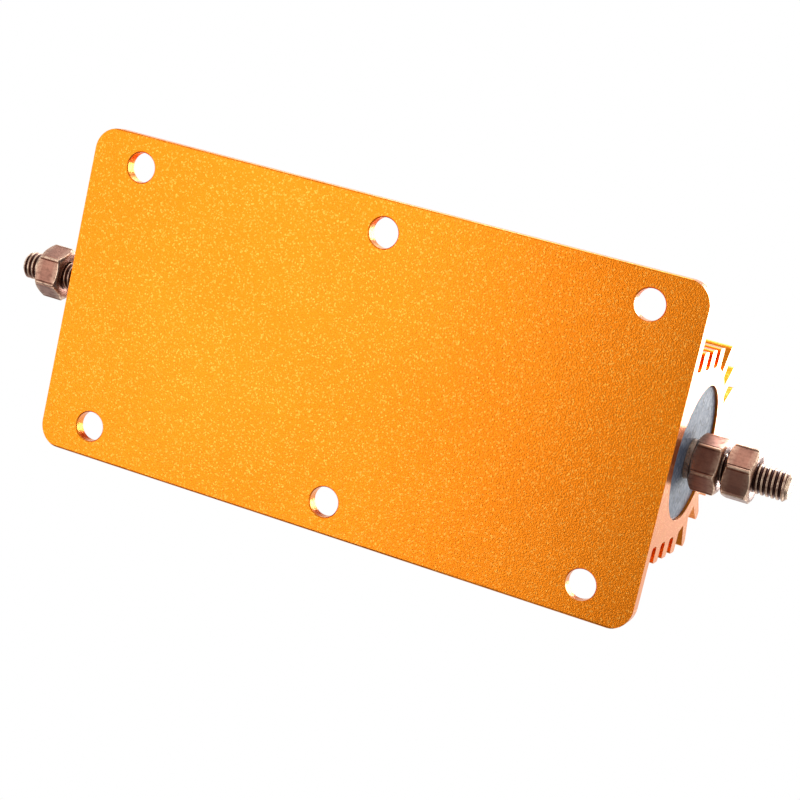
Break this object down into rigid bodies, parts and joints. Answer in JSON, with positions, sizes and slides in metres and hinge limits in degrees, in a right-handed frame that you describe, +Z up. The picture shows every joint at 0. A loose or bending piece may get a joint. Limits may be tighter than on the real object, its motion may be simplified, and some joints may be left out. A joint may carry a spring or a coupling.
{
  "type": "aluminium housed power resistor",
  "caption": "Finned gold-anodised aluminium housing on a drilled mounting flange, with a wirewound element inside and a threaded stud with hexagon nuts at each end.",
  "frame": {"origin": "centre of the mounting face, midway between the ends of the extrusion and between the two rows of holes", "axes": "+X runs along the extrusion, towards the end with the two nuts close together; +Z points up, from the mounting face through the fins; +Y completes a right-handed frame, towards the side on which the terminals lie a little off the middle"},
  "size_m": [0.1853, 0.073, 0.0418],
  "materials": {
    "anodised_housing": "sandblasted, gold anodised, satin",
    "ceramic": "unglazed ceramic",
    "resistance_strip": "bright drawn resistance alloy strip",
    "cap_steel": "deep drawn, satin",
    "stud_copper": "copper-coloured, semi-bright",
    "cement": "cast, matt",
    "disc_grey": "moulded, mottled, satin",
    "nut_copper": "copper-coloured, semi-bright"
  },
  "bodies": {
    "root": {"housing": "anodised_housing", "ceramic_core": "ceramic", "resistance_winding": "resistance_strip", "end_cap_left": "cap_steel", "end_cap_right": "cap_steel", "terminal_stud_left": "stud_copper", "terminal_stud_right": "stud_copper", "potting": "cement", "end_disc_left": "disc_grey", "end_disc_right": "disc_grey", "inner_nut_left": "nut_copper", "inner_nut_right": "nut_copper", "outer_nut_left": "nut_copper", "outer_nut_right": "nut_copper"}
  },
  "joints": []
}
